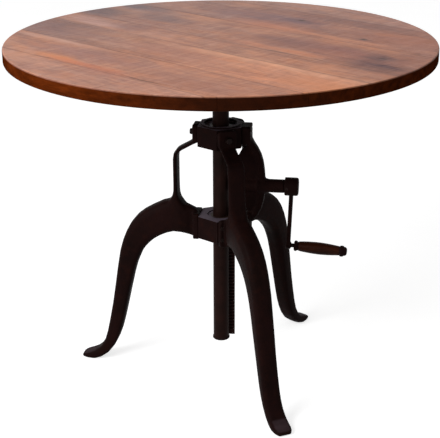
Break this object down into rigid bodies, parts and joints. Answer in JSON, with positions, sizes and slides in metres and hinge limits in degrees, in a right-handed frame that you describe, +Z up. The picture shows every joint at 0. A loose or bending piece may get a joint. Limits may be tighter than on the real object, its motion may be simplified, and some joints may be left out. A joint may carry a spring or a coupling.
{
  "type": "round crank table",
  "caption": "Round planked wooden table on three curved cast iron legs, with a hand crank, pinion and toothed column that raise and lower the top.",
  "frame": {"origin": "on the floor, under the middle of the column", "axes": "+Z up along the column; +X towards the crank; one leg points along -X"},
  "size_m": [0.9, 0.9, 0.771],
  "materials": {
    "top_wood": "oiled, saw marked",
    "grip_wood": "varnished",
    "black_iron": "blackened",
    "dark_steel": "blackened",
    "fastener_steel": "blackened",
    "bronze": "machined"
  },
  "bodies": {
    "base": {"leg_left": "black_iron", "leg_back": "black_iron", "leg_front": "black_iron", "lower_hub": "black_iron", "upper_hub": "black_iron", "lower_bush": "bronze", "upper_bush": "bronze", "upper_bolts": "fastener_steel", "lower_screws": "fastener_steel", "bracket": "black_iron", "bracket_bolts": "fastener_steel", "bracket_screws": "fastener_steel", "shaft_bush_in": "bronze", "shaft_bush_out": "bronze"},
    "lift": {"column": "dark_steel", "stop_plug": "black_iron", "rack_bar": "dark_steel", "flange": "black_iron", "flange_screws": "fastener_steel", "batten_a": "top_wood", "batten_b": "top_wood", "batten_screws": "fastener_steel", "plank_1": "top_wood", "plank_2": "top_wood", "plank_3": "top_wood", "plank_4": "top_wood", "plank_5": "top_wood", "plank_6": "top_wood", "plank_7": "top_wood"},
    "crank": {"crank_shaft": "dark_steel", "pinion": "dark_steel", "pinion_pin": "fastener_steel", "crank_arm": "black_iron", "hub_pin": "fastener_steel", "grip_pin": "fastener_steel", "pin_nut": "fastener_steel"},
    "grip": {"ferrule": "black_iron", "grip_wood": "grip_wood", "end_cap": "black_iron"}
  },
  "joints": [
    {"name": "top_lift", "type": "slide", "parent": "base", "child": "lift", "axis": [0, 0, 1], "range_m": [-0.066, 0.24]},
    {"name": "crank_turn", "type": "hinge", "parent": "base", "child": "crank", "pos_m": [0.1, -0.0045, 0.454], "axis": [1, 0, 0], "range_deg": [-253, 918]},
    {"name": "grip_spin", "type": "hinge", "parent": "crank", "child": "grip", "pos_m": [0.1508, -0.0045, 0.31658], "axis": [0.9973, 0, -0.0732], "continuous": true}
  ],
  "couplings": [
    {"joint": "crank_turn", "follows": "top_lift", "rad_per_m": 66.667}
  ]
}
